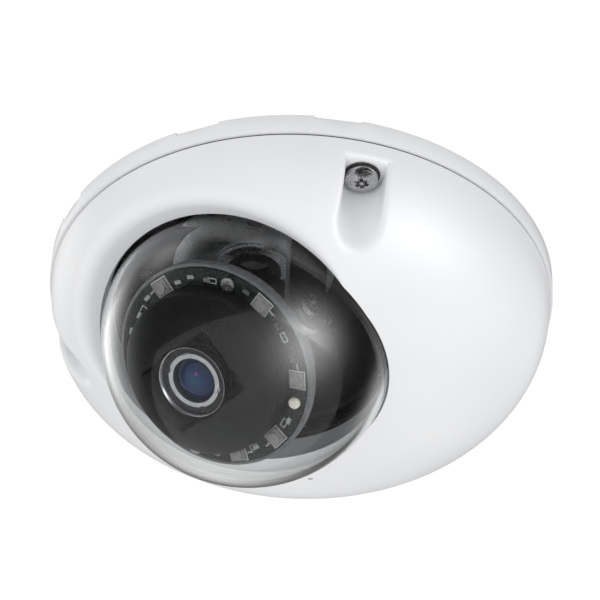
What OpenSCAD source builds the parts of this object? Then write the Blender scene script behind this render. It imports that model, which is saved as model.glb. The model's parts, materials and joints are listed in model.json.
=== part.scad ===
// Dome camera for a ceiling: a round base, a dished cover that carries a clear bubble, and inside it a
// camera ball that pans, tilts and turns about its own optical axis.
// The ceiling face is z = 0 and +Z points into the ceiling, so the camera hangs below. The front is -Y.

/* [Base] */
// Radius of the base, which is the radius of the whole camera
base_r = 55; // [54.5:0.1:56]
// Height of the base rim, from the ceiling face to the seam
rim_h = 4.5; // [4.2:0.1:4.6]
// Thickness of the base floor
floor_t = 2.5; // [2:0.1:2.7]
// Inner radius of the base cavity
cavity_r = 47.6; // [47.4:0.1:48]
// Outer radius of the spigot that the cover slides over
spigot_r = 51.4; // [51:0.1:51.5]
// Height of the spigot below the rim
spigot_h = 2; // [1.6:0.1:2.2]
// Distance between the ceiling screw holes, both ways
hole_pitch = 56; // [54:1:57]
// Radius of each ceiling screw hole
hole_r = 2.25; // [2:0.05:2.5]
// Bore radius of the rubber cable grommet
cable_r = 3.6; // [3:0.1:4]

/* [Cover] */
// Radius of the cover at the seam
cover_r = 54.4; // [54:0.1:54.6]
// Width of the seam between the base rim and the cover
seam = 0.3; // [0.2:0.05:0.4]
// Depth of the cover's crown below the ceiling face
crown_z = 37.9; // [37.5:0.1:38.5]
// Fullness of the cover's profile: 2 is an ellipse, more is squarer
fullness = 2.28; // [2.2:0.02:2.34]
// Wall thickness of the cover
cover_t = 2.3; // [2:0.1:2.5]
// Tilt of the dished face round the bubble, from straight down towards the front
dish_tilt = 33.5; // [32:0.5:34]
// Radius of the dish where it meets the bubble
dish_r = 31.1; // [30.9:0.1:31.2]
// Distance of that edge in front of the bubble's centre
dish_h = 8; // [7.8:0.1:8.4]
// How much the dish widens for each millimetre forwards
dish_flare = 1.08; // [0.95:0.01:1.15]

/* [Bubble] */
// Outer radius of the clear bubble
bubble_r = 31.3; // [31.2:0.1:31.4]
// Wall thickness of the bubble
bubble_t = 1.3; // [1.1:0.1:1.4]
// Tilt of the bubble's flange
flange_tilt = 15; // [14:0.5:16]
// Outer radius of the bubble's flange
flange_r = 34.2; // [34:0.1:34.3]
// Thickness of the bubble's flange
flange_t = 1.8; // [1.6:0.1:1.9]
// Distance of the bubble's centre in front of the base's centre
centre_y = 15.8; // [15.6:0.1:16]
// Depth of the bubble's centre below the ceiling face
centre_z = 25.1; // [25:0.1:25.3]

/* [Cover screws] */
// Distance of each cover screw from the base's centre
screw_ring_r = 49.3; // [49.2:0.1:49.4]
// Angle of each cover screw from the front
screw_angle = 54.5; // [53:0.5:56]
// Radius of the flute that each screw sits in
flute_r = 4.3; // [4.2:0.05:4.4]
// Depth of the screw's seat below the ceiling face
seat_z = 9.2; // [9:0.1:9.4]
// Radius of the screw head
head_r = 3.4; // [3.2:0.1:3.5]

/* [Camera ball] */
// Pan of the ball as it is stored, from the front towards +X
pan_rest = -4; // [-20:1:20]
// Tilt of the ball as it is stored, from straight down
tilt_rest = 37; // [10:1:60]
// Radius of the neck that turns in the tilt ring
neck_r = 12.04; // [12:0.01:12.06]
// Outer radius of the ring board with the infrared lamps
board_r = 21.2; // [21:0.1:21.4]
// Distance of that board's face in front of the ball's centre
board_h = 15.9; // [15.6:0.1:16]
// Radius of the black shroud in the middle of the board
shroud_r = 17.3; // [17:0.1:17.4]
// Radius of the shroud's front, about the ball's centre
shroud_front_r = 27.2; // [27:0.1:27.6]
// Radius of the lens's outer ring
lens_r = 7.45; // [7.4:0.05:7.6]
// Distance of that ring's face in front of the ball's centre
lens_h = 25; // [24.5:0.1:25.4]
// Radius of the front glass
glass_r = 4.7; // [4.5:0.05:4.8]

/* [Hidden] */
$fn = 96;

eps = 0.01;
far = 80;                                    // longer than any cut needs
sides = [-1, 1];

// Notches on the rim's ceiling edge, where it is prised off
wall_notches = [246, 286.5, 317.5];
notch_w = 9.6;
notch_d = 0.7;
notch_h = 1;

// Cover profile
profile_steps = 20;
cover_top = rim_h + seam;                    // depth of the cover's upper edge

// Bubble and its seat
bubble_in = bubble_r - bubble_t;
skirt_h = 3.4;                               // straight skirt behind the hemisphere
seal_t = 1;
dish_lip = 3;                                // depth of the dark gap round the bubble
seat_gap = 0.25;                             // between the bubble and the cover round it
clamp_t = 1.8;
clamp_in = 31.5;
clamp_out = 35.2;
clamp_gap = 0.1;
clamp_back = skirt_h + flange_t + clamp_gap + clamp_t;
ear_ring_r = 36;
ear_r = 1.9;
ear_angles = [35, 145, 240, 300];
clamp_bore = 0.8;
clamp_screw_hole = 1;

// Cover screws
screw_r = 1.5;
washer_t = 0.4;
screw_floor = 1.8;                           // cover left above the screw's seat

// Gimbal
plate_r = 29.4;
plate_t = 1.7;
boss_r = 6;
boss_bore = 4;
boss_end = 7;                                // depth of the boss's lower end
turn_gap = 0.3;                              // between parts that turn on each other
yoke_t = 1.2;
yoke_disc_r = 17.6;
arm_x = 15.6;
arm_w = 11;
pivot_r = 1.5;
run_gap = 0.05;                              // radial clearance of a running pin
liner_in = 29.6;
liner_t = 1;
liner_gap = 0.4;
ring_half = 4;                               // half the tilt ring's height
ring_out = 14.3;

// Main board
board_depth = 8.4;
board_t = 1.6;
board_under = board_depth + board_t;         // depth of the board's lower face
board_holes = [[-18, 36], [18, 36], [0, 20.5]];
grommet_at = [-36, 6];
mic_at = [-12.2, 20];
reset_at = [-17, 41.5];

// Ball
led_t = 1;
led_ring_r = 19.2;
led_angles = [18, 91, 165, 251, 282, 326];
part_angles = [2, 30, 57, 68, 78, 104, 118, 131, 146, 182, 200, 236, 266, 298, 340];
board_screw_angles = [42, 222];
sensor_angle = 311;
barrel_r = lens_r - 0.4;
retainer_r = lens_r - 1.65;
notch_angles = [73, 132, 253, 312];          // spanner notches of the lens's retaining ring
quad_w = 11;                                 // half the flared opening's width at the front
quad_h = 7.4;
quad_turn = 4.5;
quad_corner = 1.5;

// ---- Helpers ----

// Puts the bubble's centre at the origin, with +Z along a line of sight tilted from straight down.
module facing(tilt, pan = 0) {
    translate([0, -centre_y, -centre_z]) rotate([0, 0, pan]) rotate([180 - tilt, 0, 0]) children();
}

// The camera ball's own frame: +Z is the optical axis.
module ball_frame() {
    facing(tilt_rest, pan_rest) children();
}

// The gimbal's frame: the bubble's centre, turned by the stored pan, +Z up.
module pan_frame() {
    translate([0, -centre_y, -centre_z]) rotate([0, 0, pan_rest]) children();
}

module tube(outer, inner, h) {
    difference() {
        cylinder(r = outer, h = h);
        translate([0, 0, -eps]) cylinder(r = inner, h = h + 2 * eps);
    }
}

module at_cover_screws() {
    for (s = sides)
        translate([s * screw_ring_r * sin(screw_angle), -screw_ring_r * cos(screw_angle), 0]) children();
}

module at_gimbal_screws() {
    for (a = [90, 210, 330]) rotate([0, 0, a]) translate([24, 0, 0]) children();
}

module at_clamp_ears() {
    for (a = ear_angles) rotate([0, 0, a]) translate([ear_ring_r, 0, 0]) children();
}

module at_ceiling_holes() {
    for (x = sides, y = sides)
        translate([x * hole_pitch / 2, y * hole_pitch / 2 - 6, 0]) children();
}

// Depth below z = 0 of a squared ellipse of radius r and height h, at the fraction u of its quarter turn.
function rim_point(r, h, u) =
    let (d = sin(90 * u)) [r * pow(1 - pow(d, fullness), 1 / fullness), -cover_top - h * d];

// The solid inside the cover's outer skin, or inside its inner skin when it is shrunk by t.
module dome_solid(t = 0) {
    r = cover_r - t;
    h = crown_z - cover_top - t;
    rotate_extrude()
        polygon(concat([[0, -cover_top]],
                       [for (i = [0:profile_steps - 1]) rim_point(r, h, i / profile_steps)],
                       [[0, -cover_top - h]]));
}

// Places children at these angles on the lamp board's ring.
module on_board_ring(angles) {
    for (a = angles) rotate([0, 0, a]) translate([led_ring_r, 0, 0]) children();
}

// A small pan-head screw, head up along +Z with its seat at z = 0.
module small_screw(head = 1.6, shank = 0.8, length = 3) {
    difference() {
        union() {
            cylinder(r = head, h = 1);
            translate([0, 0, -length]) cylinder(r = shank, h = length + eps);
        }
        for (a = [0, 90]) rotate(a) translate([-head * 0.6, -0.25, 0.5]) cube([head * 1.2, 0.5, 1]);
    }
}

// A block with its centre at the origin in X and Y, standing on z = 0.
module block(w, d, h) {
    translate([-w / 2, -d / 2, 0]) cube([w, d, h]);
}

// A chip or connector hung under the main board.
module under_board(x, y, turn = 0) {
    translate([x, y, -board_under]) rotate([0, 0, turn]) mirror([0, 0, 1]) children();
}

// ---- Base ----

module base_plate() {
    color("gainsboro") difference() {
        union() {
            translate([0, 0, -rim_h]) tube(base_r, cavity_r, rim_h);
            translate([0, 0, -rim_h - spigot_h]) tube(spigot_r, cavity_r, spigot_h + eps);
            translate([0, 0, -floor_t]) cylinder(r = cavity_r + 1, h = floor_t);
            intersection() {
                at_cover_screws() translate([0, 0, -rim_h - spigot_h]) cylinder(r = 4, h = rim_h + spigot_h);
                translate([0, 0, -far]) cylinder(r = spigot_r, h = far);
            }
            for (p = board_holes) translate([p.x, p.y, -board_depth]) cylinder(r = 2.6, h = board_depth);
        }
        at_cover_screws() translate([0, 0, -far]) cylinder(r = screw_r, h = far - floor_t + 1.5);
        at_ceiling_holes() translate([0, 0, -far / 2]) cylinder(r = hole_r, h = far);
        translate([grommet_at.x, grommet_at.y, -far / 2]) cylinder(r = 6.5, h = far);
        for (p = board_holes) translate([p.x, p.y, -far]) cylinder(r = 0.85, h = far - floor_t);
        translate([0, -centre_y, -far]) at_gimbal_screws() cylinder(r = 0.9, h = far - 0.8);
        for (a = wall_notches) rotate([0, 0, a])
            translate([base_r - notch_d, -notch_w / 2, -notch_h]) cube([3, notch_w, 3]);
    }
}

module cable_grommet() {
    color("dimgray") translate([grommet_at.x, grommet_at.y, 0]) difference() {
        union() {
            translate([0, 0, -floor_t]) cylinder(r = 6.45, h = floor_t - 0.2);
            translate([0, 0, -floor_t - 2.7]) cylinder(r = 8, h = 2.7);
        }
        translate([0, 0, -far / 2]) cylinder(r = cable_r, h = far);
    }
}

module cover_seal() {
    color("dimgray") translate([0, 0, -cover_top]) tube(cover_r - 0.25, spigot_r + 0.2, seam);
}

module gimbal_base() {
    color([0.1, 0.1, 0.1]) translate([0, -centre_y, 0]) difference() {
        union() {
            translate([0, 0, -floor_t - plate_t]) cylinder(r = plate_r, h = plate_t);
            translate([0, 0, -boss_end]) cylinder(r = boss_r, h = boss_end - floor_t);
        }
        translate([0, 0, -far / 2]) cylinder(r = boss_bore, h = far);
        translate([0, 0, -far / 2]) at_gimbal_screws() cylinder(r = 1.1, h = far);
    }
}

module gimbal_screws() {
    head_depth = floor_t + plate_t;
    color("silver") translate([0, -centre_y, -head_depth]) at_gimbal_screws() mirror([0, 0, 1])
        small_screw(head = 1.8, shank = 0.88, length = 3);
}

module pan_retainer() {
    color("silver") translate([0, -centre_y, -boss_end + 0.3]) tube(8.5, boss_r + 0.02, 0.8);
}

module inner_liner() {
    color([0.08, 0.08, 0.08]) intersection() {
        translate([0, -centre_y, -far]) tube(liner_in + liner_t, liner_in, far - floor_t);
        facing(flange_tilt) translate([0, 0, -far - clamp_back - liner_gap])
            cylinder(r = far, h = far, $fn = 16);
    }
}

// ---- Main board and what is on it ----

module main_board() {
    color("darkgreen") translate([0, 0, -board_under]) difference() {
        intersection() {
            cylinder(r = 45.4, h = board_t);
            translate([-24, 14, 0]) cube([48, 40, board_t]);
        }
        translate([0, -centre_y, -1]) cylinder(r = liner_in + liner_t + 0.9, h = board_t + 2);
        for (p = board_holes) translate([p.x, p.y, -1]) cylinder(r = 1.1, h = board_t + 2);
    }
}

module board_screws() {
    color("silver") for (p = board_holes) under_board(p.x, p.y)
        small_screw(head = 1.7, shank = 0.83, length = 5);
}

module processor() {
    color([0.15, 0.15, 0.15]) translate([0, 31, -board_depth]) block(13, 13, 1.4);
}

module heat_pad() {
    pad_z = board_depth - 1.4;
    color("lightblue") translate([0, 31, -pad_z]) block(12, 12, pad_z - floor_t);
}

module memory_chip() {
    color([0.15, 0.15, 0.15]) under_board(-7, 31.7) block(9, 9, 1.1);
}

module network_magnetics() {
    color([0.12, 0.12, 0.12]) under_board(16, 23.9) block(12, 8, 3.6);
}

module power_inductor() {
    color([0.25, 0.25, 0.25]) under_board(-17, 27.5) difference() {
        block(7, 7, 3.2);
        translate([0, 0, 2.7]) cylinder(r = 2.4, h = 1);
    }
}

module capacitors() {
    color("silver") for (p = [[-9.5, 39.6], [-3.4, 41], [21, 31.5]]) under_board(p.x, p.y) {
        cylinder(r = 2.4, h = 5.4);
        block(5, 5, 0.8);
    }
}

module network_header() {
    color("ivory") under_board(7, 40.4) difference() {
        block(12, 4.8, 4.6);
        translate([0, 0, 1]) block(10.6, 3.4, 5);
    }
}

module ribbon_socket() {
    color("ivory") under_board(0, 24.4) union() {
        block(11, 3.4, 1.4);
        translate([0, 1.2, 0]) block(12.4, 1, 2);
    }
}

module card_socket() {
    color("silver") under_board(9.1, 32.2) difference() {
        block(14, 7.5, 1.9);
        translate([0, -1.6, 0.5]) block(11.4, 7, 0.9);
    }
}

module reset_switch() {
    color("dimgray") under_board(reset_at.x, reset_at.y) difference() {
        block(4.4, 4.4, 2);
        translate([0, 0, 0.6]) cylinder(r = 1.25, h = 3);
    }
}

module reset_button() {
    color("tan") under_board(reset_at.x, reset_at.y) translate([0, 0, 1]) cylinder(r = 1.05, h = 1.7);
}

module microphone() {
    color("silver") under_board(mic_at.x, mic_at.y) cylinder(r = 1.8, h = 1.5);
}

// ---- Gimbal ----

module yoke() {
    disc_z = centre_z - floor_t - plate_t - turn_gap - yoke_t;
    color("silver") pan_frame() difference() {
        union() {
            translate([0, 0, disc_z]) cylinder(r = yoke_disc_r, h = yoke_t);
            for (s = sides) rotate([0, 90, 0])
                translate([0, 0, s > 0 ? arm_x : -arm_x - yoke_t]) {
                    cylinder(r = arm_w / 2, h = yoke_t);
                    translate([-disc_z - yoke_t, -arm_w / 2, 0]) cube([disc_z + yoke_t, arm_w, yoke_t]);
                }
        }
        cylinder(r = boss_r + run_gap, h = far);
        translate([-far / 2, 0, 0]) rotate([0, 90, 0]) cylinder(r = pivot_r + run_gap, h = far);
        for (a = [45, 135, 225, 315]) rotate([0, 0, a]) translate([12, 0, 0]) cylinder(r = 1.6, h = far);
    }
}

module tilt_ring() {
    color([0.15, 0.15, 0.15]) ball_frame() difference() {
        union() {
            translate([0, 0, -ring_half]) cylinder(r = ring_out, h = 2 * ring_half);
            for (s = sides) rotate([0, s * 90, 0]) cylinder(r = 3.1, h = arm_x - turn_gap);
        }
        translate([0, 0, -far / 2]) cylinder(r = neck_r + 0.06, h = far);
        translate([-far / 2, 0, 0]) rotate([0, 90, 0]) cylinder(r = pivot_r, h = far);
    }
}

module tilt_pins() {
    head_x = arm_x + yoke_t + turn_gap;
    pin_in = neck_r + 0.6;
    color("silver") ball_frame() for (s = sides) rotate([0, s * 90, 0]) difference() {
        union() {
            translate([0, 0, pin_in]) cylinder(r = pivot_r, h = head_x - pin_in + eps);
            translate([0, 0, head_x]) cylinder(r = 2.4, h = 1.2);
        }
        for (a = [0, 90]) rotate(a) translate([-1.3, -0.25, head_x + 0.6]) cube([2.6, 0.5, 2]);
    }
}

// ---- Camera ball ----

module ball_housing() {
    seat = board_h - led_t;
    wall_in = board_r - 1.5;
    color([0.12, 0.12, 0.12]) ball_frame() rotate_extrude() polygon([
        [10.6, -5.4], [neck_r, -5.4], [neck_r, 4.3], [14.2, 4.3], [14.2, 6.6],
        [board_r, 12.8], [board_r, seat], [wall_in, seat], [wall_in, 13.6], [12.2, 7.6], [10.6, 6]]);
}

module neck_clip() {
    color([0.2, 0.2, 0.2]) ball_frame() translate([0, 0, -5.2]) difference() {
        tube(13, neck_r + 0.01, 0.8);
        translate([0, -1.2, -1]) cube([20, 2.4, 3]);
    }
}

module rear_cap() {
    color([0.12, 0.12, 0.12]) ball_frame() rotate_extrude() polygon([
        [0, -9.4], [6, -8.9], [9.6, -7.6], [12, -5.45], [10.5, -5.45], [10.5, -3.8], [9.3, -3.8],
        [9.3, -6.2], [5.6, -7.6], [0, -8.1]]);
}

module sensor_board() {
    color("darkgreen") ball_frame() translate([0, 0, -2.6]) block(14.4, 14.4, 1.2);
}

module image_sensor() {
    color("slategray") ball_frame() translate([0, 0, -1.4]) block(8.6, 7.6, 1.3);
}

module lens_mount() {
    color([0.1, 0.1, 0.1]) ball_frame() difference() {
        union() {
            translate([0, 0, -1.4]) block(14, 14, 4.4);
            cylinder(r = 8, h = 9.5);
        }
        translate([0, 0, -2]) block(10.4, 9.6, 4);
        cylinder(r = 6.03, h = far);
    }
}

module lens_barrel() {
    color([0.08, 0.08, 0.08]) ball_frame() rotate_extrude() polygon([
        [4.2, 2.6], [6, 2.6], [6, 11], [barrel_r, 11], [barrel_r, lens_h - 1.2],
        [retainer_r + 0.1, lens_h - 1.2], [retainer_r + 0.1, lens_h - 1.9],
        [glass_r + 0.05, lens_h - 1.9], [glass_r + 0.05, lens_h - 4.6],
        [3.4, lens_h - 4.6], [3.4, 5.2], [4.2, 5.2]]);
}

module focus_ring() {
    color("silver") ball_frame() translate([0, 0, lens_h - 3]) difference() {
        tube(lens_r, barrel_r + 0.02, 3);
        translate([0, 0, 2.4]) cylinder(r1 = barrel_r, r2 = lens_r - 0.1, h = 0.61);
    }
}

module lens_retainer() {
    color("silver") ball_frame() translate([0, 0, lens_h - 1.88]) difference() {
        tube(retainer_r, glass_r + 0.08, 1);
        for (a = notch_angles) rotate([0, 0, a]) translate([retainer_r - 0.3, -0.5, 0.5]) cube([2, 1, 1]);
    }
}

// The glass is a flat-backed disc with a domed front.
module front_glass() {
    dome_r = 9.5;
    dome_z = lens_h - 0.9 - dome_r;
    color("midnightblue") ball_frame() intersection() {
        translate([0, 0, lens_h - 4.55]) cylinder(r = glass_r, h = far);
        translate([0, 0, dome_z]) sphere(r = dome_r);
    }
}

module rear_glass() {
    color("midnightblue") ball_frame() translate([0, 0, 3.2]) cylinder(r = 4.15, h = 1.9);
}

module led_board() {
    color("darkgreen") ball_frame() translate([0, 0, board_h - led_t]) difference() {
        tube(board_r, shroud_r - 1.2, led_t);
        translate([0, 0, -1]) on_board_ring(board_screw_angles) cylinder(r = 0.9, h = 4);
    }
}

module ir_leds() {
    color("gold") ball_frame() translate([0, 0, board_h]) on_board_ring(led_angles) {
        block(2.9, 3.3, 0.7);
        translate([0, 0, 0.7]) cylinder(r = 1.2, h = 0.4);
    }
}

module light_sensor() {
    color("white") ball_frame() translate([0, 0, board_h]) on_board_ring([sensor_angle]) {
        cylinder(r = 1.15, h = 0.7);
        cylinder(r = 0.85, h = 1.2);
    }
}

module board_parts() {
    color("tan") ball_frame() for (i = [0:len(part_angles) - 1])
        rotate([0, 0, part_angles[i]]) translate([led_ring_r - 0.4 + 0.6 * (i % 2), 0, board_h])
            block(0.8, 1.5, 0.45);
}

module led_board_screws() {
    color("silver") ball_frame() translate([0, 0, board_h]) on_board_ring(board_screw_angles)
        small_screw(head = 1.5, shank = 0.85, length = 0.98);
}

module front_shroud() {
    floor_h = 20.6;
    color([0.1, 0.1, 0.1]) ball_frame() difference() {
        intersection() {
            translate([0, 0, board_h + 0.05]) cylinder(r = shroud_r, h = far);
            sphere(r = shroud_front_r);
        }
        translate([0, 0, board_h - 1]) cylinder(r = shroud_r - 1.4, h = floor_h - board_h - 0.5);
        cylinder(r = lens_r + 0.4, h = far);
        rotate([0, 0, quad_turn]) hull() {
            translate([0, 0, floor_h]) block(2 * quad_w - 8, 2 * quad_h - 1.4, eps);
            for (x = sides, y = sides)
                translate([x * (quad_w - quad_corner), y * (quad_h - quad_corner), 26.5])
                    cylinder(r = quad_corner, h = 4, $fn = 32);
        }
    }
}

module trim_ring() {
    color("darkgray") ball_frame() translate([0, 0, 12.9]) tube(board_r + 0.8, board_r + 0.05, 2.8);
}

// ---- Cover ----

module cover_shell() {
    land = -skirt_h + seal_t;                // where the seal presses against the cover
    color("whitesmoke") difference() {
        union() {
            difference() {
                dome_solid();
                dome_solid(cover_t);
                translate([0, 0, -cover_top - eps]) cylinder(r = cover_r - cover_t, h = far);
            }
            intersection() {
                dome_solid();
                facing(flange_tilt) translate([0, 0, land]) cylinder(r = 37, h = far);
            }
            intersection() {
                dome_solid();
                union() {
                    at_cover_screws() translate([0, 0, -far])
                        cylinder(r = flute_r + 1.5, h = far - seat_z + screw_floor);
                    facing(flange_tilt) translate([0, 0, -clamp_back + clamp_t]) at_clamp_ears()
                        cylinder(r = ear_r + 0.3, h = far);
                }
            }
        }
        facing(0) sphere(r = bubble_r + seat_gap);
        facing(dish_tilt) {
            translate([0, 0, dish_h]) cylinder(r1 = dish_r, r2 = dish_r + 20 * dish_flare, h = 20);
            translate([0, 0, dish_h - dish_lip]) cylinder(r = dish_r, h = dish_lip + eps);
        }
        at_cover_screws() {
            translate([0, 0, -far]) cylinder(r = flute_r, h = far - seat_z);
            translate([0, 0, -far]) cylinder(r = screw_r + 0.3, h = far);
        }
        facing(flange_tilt) translate([0, 0, -far]) at_clamp_ears() cylinder(r = clamp_bore, h = far + 1.5);
        facing(flange_tilt) translate([0, 0, -far]) cylinder(r = clamp_out + 0.3, h = far + land);
        translate([mic_at.x, mic_at.y, -far]) cylinder(r = 0.6, h = far);
    }
}

module bubble() {
    skirt_r = bubble_r - 0.03;
    base_z = -skirt_h - flange_t;
    color("lightblue", 0.4) facing(flange_tilt) difference() {
        union() {
            intersection() {
                sphere(r = bubble_r);
                translate([0, 0, -2]) cylinder(r = far, h = far);
            }
            translate([0, 0, base_z]) cylinder(r = skirt_r, h = -base_z);
            translate([0, 0, base_z]) cylinder(r = flange_r, h = flange_t);
        }
        sphere(r = bubble_in);
        translate([0, 0, base_z - 1]) cylinder(r1 = bubble_in + 1, r2 = bubble_in - 0.2, h = 2 - base_z);
    }
}

module bubble_seal() {
    color("dimgray") facing(flange_tilt) translate([0, 0, -skirt_h])
        tube(flange_r, bubble_r + 0.35, seal_t);
}

module bubble_clamp() {
    color([0.12, 0.12, 0.12]) facing(flange_tilt) translate([0, 0, -clamp_back]) difference() {
        union() {
            cylinder(r = clamp_out, h = clamp_t);
            at_clamp_ears() cylinder(r = ear_r, h = clamp_t);
        }
        translate([0, 0, -1]) cylinder(r = clamp_in, h = clamp_t + 2);
        translate([0, 0, -1]) at_clamp_ears() cylinder(r = clamp_screw_hole, h = clamp_t + 2);
    }
}

module clamp_screws() {
    color("silver") facing(flange_tilt) translate([0, 0, -clamp_back]) at_clamp_ears() mirror([0, 0, 1])
        small_screw(head = 1.5, shank = clamp_bore - 0.02, length = 4);
}

// A pan-head screw with a six-point star and a centre pin.
module cover_screws() {
    color("silver") at_cover_screws() translate([0, 0, -seat_z - washer_t]) mirror([0, 0, 1]) difference() {
        union() {
            intersection() {
                cylinder(r = head_r, h = 2.2);
                translate([0, 0, -6.2]) sphere(r = 8.4);
            }
            translate([0, 0, -7.4]) cylinder(r = screw_r - 0.02, h = 7.4 + eps);
        }
        difference() {
            translate([0, 0, 0.9]) for (a = [0, 60, 120]) rotate([0, 0, a]) block(3, 0.95, 3);
            cylinder(r = 0.45, h = 3);
        }
    }
}

module screw_washers() {
    color("dimgray") at_cover_screws() translate([0, 0, -seat_z - washer_t])
        tube(3.75, screw_r + 0.02, washer_t);
}

module screw_clips() {
    clip_z = seat_z - screw_floor - 0.02;
    color([0.2, 0.2, 0.2]) at_cover_screws() translate([0, 0, -clip_z])
        tube(2.4, screw_r, 0.7);
}

base_plate();
cable_grommet();
cover_seal();
gimbal_base();
gimbal_screws();
pan_retainer();
inner_liner();
main_board();
board_screws();
processor();
heat_pad();
memory_chip();
network_magnetics();
power_inductor();
capacitors();
network_header();
ribbon_socket();
card_socket();
reset_switch();
reset_button();
microphone();
yoke();
tilt_ring();
tilt_pins();
ball_housing();
neck_clip();
rear_cap();
sensor_board();
image_sensor();
lens_mount();
lens_barrel();
focus_ring();
lens_retainer();
front_glass();
rear_glass();
led_board();
ir_leds();
light_sensor();
board_parts();
led_board_screws();
front_shroud();
trim_ring();
cover_shell();
bubble();
bubble_seal();
bubble_clamp();
clamp_screws();
cover_screws();
screw_washers();
screw_clips();
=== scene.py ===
# %% [markdown]
# # A small dome camera for a ceiling
# The camera hangs below z = 0: a round base, a white dished cover that carries a clear bubble, and a
# black ball with a lens and a ring of infrared lamps that looks out of it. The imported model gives
# every piece its place and real size, so this lesson only adds what the eye wants: soft edges, a
# ground bubble, moulded and painted surfaces, the printed marks on the lamp board, and a studio to
# look at them in.

# %% Load the frame
import json
import math

import bmesh
import bpy
import numpy as np
from mathutils import Matrix, Vector


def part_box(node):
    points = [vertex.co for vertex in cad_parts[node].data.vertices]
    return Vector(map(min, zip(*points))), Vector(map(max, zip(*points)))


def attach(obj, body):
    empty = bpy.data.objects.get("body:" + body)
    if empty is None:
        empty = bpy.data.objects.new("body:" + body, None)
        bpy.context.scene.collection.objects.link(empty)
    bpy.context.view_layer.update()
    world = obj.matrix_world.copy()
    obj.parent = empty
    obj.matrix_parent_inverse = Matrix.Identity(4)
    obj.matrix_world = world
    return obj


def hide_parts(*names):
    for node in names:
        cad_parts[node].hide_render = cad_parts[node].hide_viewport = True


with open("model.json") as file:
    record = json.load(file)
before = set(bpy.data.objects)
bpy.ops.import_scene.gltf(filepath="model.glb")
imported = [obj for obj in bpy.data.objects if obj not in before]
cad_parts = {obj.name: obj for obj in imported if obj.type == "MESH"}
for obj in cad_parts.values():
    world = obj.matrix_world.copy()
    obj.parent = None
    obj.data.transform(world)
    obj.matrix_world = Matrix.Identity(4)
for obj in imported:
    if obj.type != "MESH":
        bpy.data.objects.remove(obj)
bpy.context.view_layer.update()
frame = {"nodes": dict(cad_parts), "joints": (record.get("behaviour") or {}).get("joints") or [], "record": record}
MM = 0.001

# %% [markdown]
# ## The camera that takes the picture
# The viewer stands below the ceiling, a little to the right of the front, and looks up at the camera.
# A long lens from 0.6 m keeps the round shapes calm. The axes of the view are built by hand from an
# azimuth and an elevation, because a small roll is easier to add to two vectors than to Euler angles.

# %% View from below
VIEW_AZIMUTH = math.radians(41.4)
VIEW_ELEVATION = math.radians(-39.15)
VIEW_ROLL = math.radians(2.9)
VIEW_DISTANCE = 0.6

back = Vector((
    math.sin(VIEW_AZIMUTH) * math.cos(VIEW_ELEVATION),
    -math.cos(VIEW_AZIMUTH) * math.cos(VIEW_ELEVATION),
    math.sin(VIEW_ELEVATION),
))
level_right = Vector((math.cos(VIEW_AZIMUTH), math.sin(VIEW_AZIMUTH), 0))
level_up = back.cross(level_right)
view_right = math.cos(VIEW_ROLL) * level_right + math.sin(VIEW_ROLL) * level_up
view_up = math.cos(VIEW_ROLL) * level_up - math.sin(VIEW_ROLL) * level_right

viewer = bpy.data.objects.new("viewer", bpy.data.cameras.new("viewer"))
bpy.context.scene.collection.objects.link(viewer)
viewer.matrix_world = Matrix((
    (view_right.x, view_up.x, back.x, back.x * VIEW_DISTANCE),
    (view_right.y, view_up.y, back.y, back.y * VIEW_DISTANCE),
    (view_right.z, view_up.z, back.z, back.z * VIEW_DISTANCE),
    (0, 0, 0, 1),
))
viewer.data.sensor_width = 36
viewer.data.lens = 163.6
viewer.data.shift_x = -0.0025
viewer.data.shift_y = -0.0252
viewer.data.clip_start = 0.01
bpy.context.scene.camera = viewer
print("the viewer stands at", [round(x, 3) for x in viewer.matrix_world.translation])

# %% [markdown]
# ## Sizes that the pieces share
# The bubble is a sphere about the point where the pan and tilt axes cross, so that point comes
# straight from the pan joint. The other sizes repeat the driving dimensions of the model, in
# millimetres.

# %% Shared sizes
pan_joint = next(j for j in frame["joints"] if j["name"] == "pan")
ball_centre = Vector(pan_joint["pos_m"]) / MM

COVER_R = 54.4
COVER_TOP = 4.8
CROWN = 37.9
FULLNESS = 2.28
COVER_T = 2.3
DISH_TILT = 33.5
DISH_R = 31.1
DISH_H = 8.0
DISH_FLARE = 1.08
SEAT_R = 31.55
FLANGE_TILT = 15.0
LAND = -2.4
PAN_REST = -4.0
TILT_REST = 37.0
LENS_H = 25.0


def line_of_sight(tilt, pan=0.0):
    """The bubble's centre as origin, with +Z along a line of sight tilted from straight down, in mm."""
    turn = Matrix.Rotation(math.radians(pan), 4, "Z") @ Matrix.Rotation(math.radians(180 - tilt), 4, "X")
    return Matrix.Translation(ball_centre) @ turn


dish_frame = line_of_sight(DISH_TILT)
flange_frame = line_of_sight(FLANGE_TILT)
ball_frame = line_of_sight(TILT_REST, PAN_REST)
print("the ball looks along", [round(x, 3) for x in ball_frame.col[2][:3]])

# %% [markdown]
# ## Helpers for meshes
# Every new piece starts as a list of points in millimetres and faces. One helper turns them into a
# mesh in metres, lets it ride on its body, and keeps edges sharp only where two faces meet at a clear
# angle. Turned parts, such as the bubble and the rings, are one profile swept round an axis.

# %% Mesh helpers
def new_piece(name, points, faces, body, slot, sharp=35):
    mesh = bpy.data.meshes.new(name)
    mesh.from_pydata([tuple(c * MM for c in p) for p in points], [], faces)
    work = bmesh.new()
    work.from_mesh(mesh)
    bmesh.ops.remove_doubles(work, verts=work.verts, dist=1e-7)
    bmesh.ops.dissolve_degenerate(work, edges=work.edges, dist=1e-7)
    bmesh.ops.recalc_face_normals(work, faces=work.faces)
    work.to_mesh(mesh)
    work.free()
    return finish_piece(name, mesh, body, sharp)


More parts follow.
